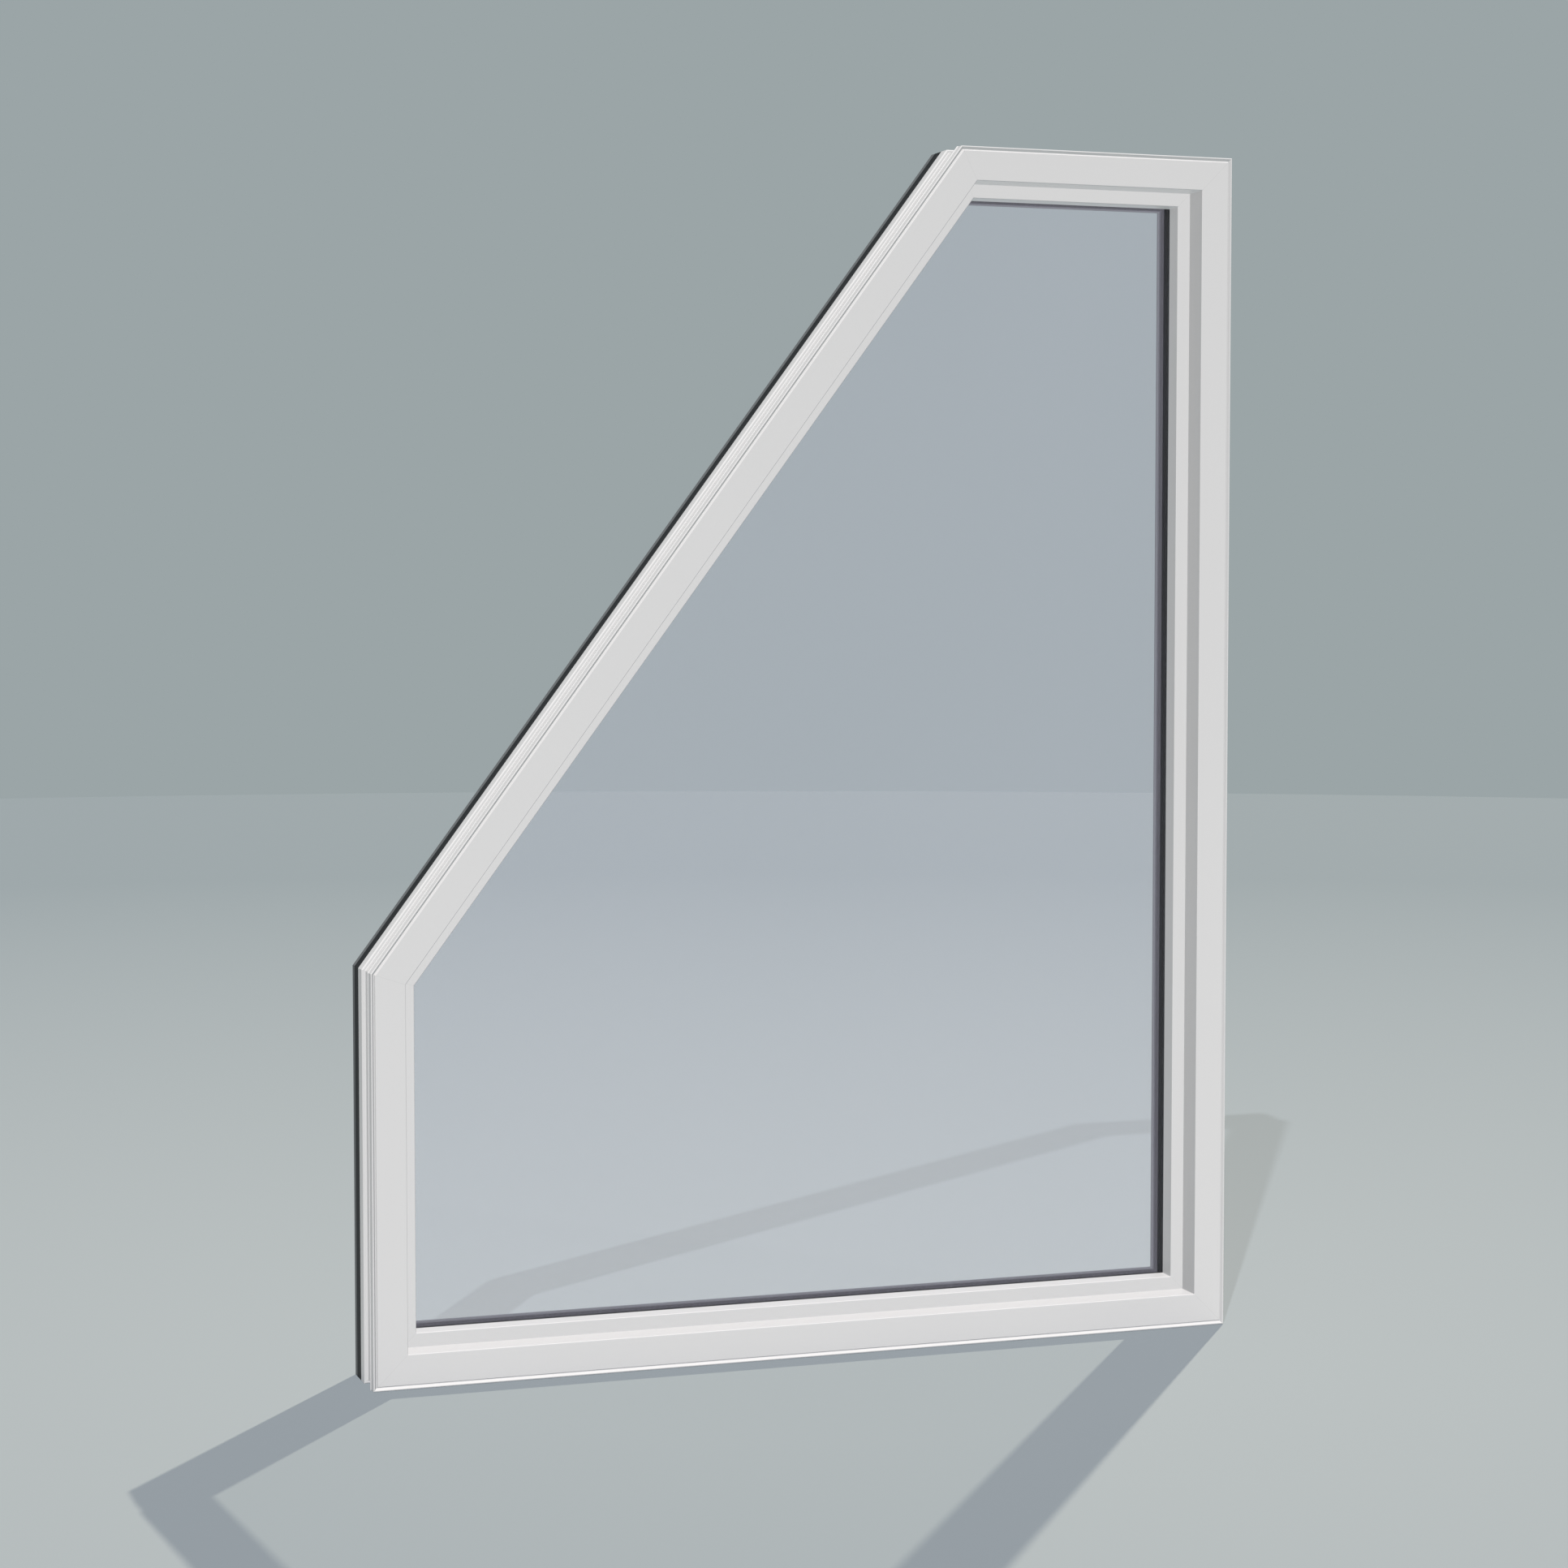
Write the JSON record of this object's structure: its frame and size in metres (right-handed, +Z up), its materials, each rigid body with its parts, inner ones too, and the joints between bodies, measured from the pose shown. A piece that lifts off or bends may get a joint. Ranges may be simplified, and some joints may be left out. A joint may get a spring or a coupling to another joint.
{
  "type": "polygon window",
  "caption": "Fixed window with a sloping upper corner: a white frame with glazing beads round a sealed glass unit, dark aluminium on the weather side.",
  "frame": {"origin": "middle of the window's width and depth, on the level of the sill's underside", "axes": "+Z up, +Y from the room side to the weather side, +X to the right as the room sees it, towards the full-height jamb"},
  "size_m": [1.192, 0.107, 1.595],
  "materials": {
    "painted_timber": "white satin paint on timber",
    "core_board": "matt black insulating board",
    "cladding": "anthracite powder coat",
    "gasket": "black sealing rubber",
    "spacer": "black warm-edge bar",
    "pane": "clear float glass",
    "setting_block": "moulded plastic"
  },
  "bodies": {
    "root": {"sill_frame": "painted_timber", "sill_core": "core_board", "sill_cladding": "cladding", "sill_bead": "painted_timber", "sill_inner_gasket": "gasket", "sill_outer_gasket": "gasket", "sill_spacers": "spacer", "right_jamb_frame": "painted_timber", "right_jamb_core": "core_board", "right_jamb_cladding": "cladding", "right_jamb_bead": "painted_timber", "right_jamb_inner_gasket": "gasket", "right_jamb_outer_gasket": "gasket", "right_jamb_spacers": "spacer", "head_frame": "painted_timber", "head_core": "core_board", "head_cladding": "cladding", "head_bead": "painted_timber", "head_inner_gasket": "gasket", "head_outer_gasket": "gasket", "head_spacers": "spacer", "slope_frame": "painted_timber", "slope_core": "core_board", "slope_cladding": "cladding", "slope_bead": "painted_timber", "slope_inner_gasket": "gasket", "slope_outer_gasket": "gasket", "slope_spacers": "spacer", "left_jamb_frame": "painted_timber", "left_jamb_core": "core_board", "left_jamb_cladding": "cladding", "left_jamb_bead": "painted_timber", "left_jamb_inner_gasket": "gasket", "left_jamb_outer_gasket": "gasket", "left_jamb_spacers": "spacer", "room_pane": "pane", "middle_pane": "pane", "outer_pane": "pane", "setting_blocks": "setting_block"}
  },
  "joints": []
}
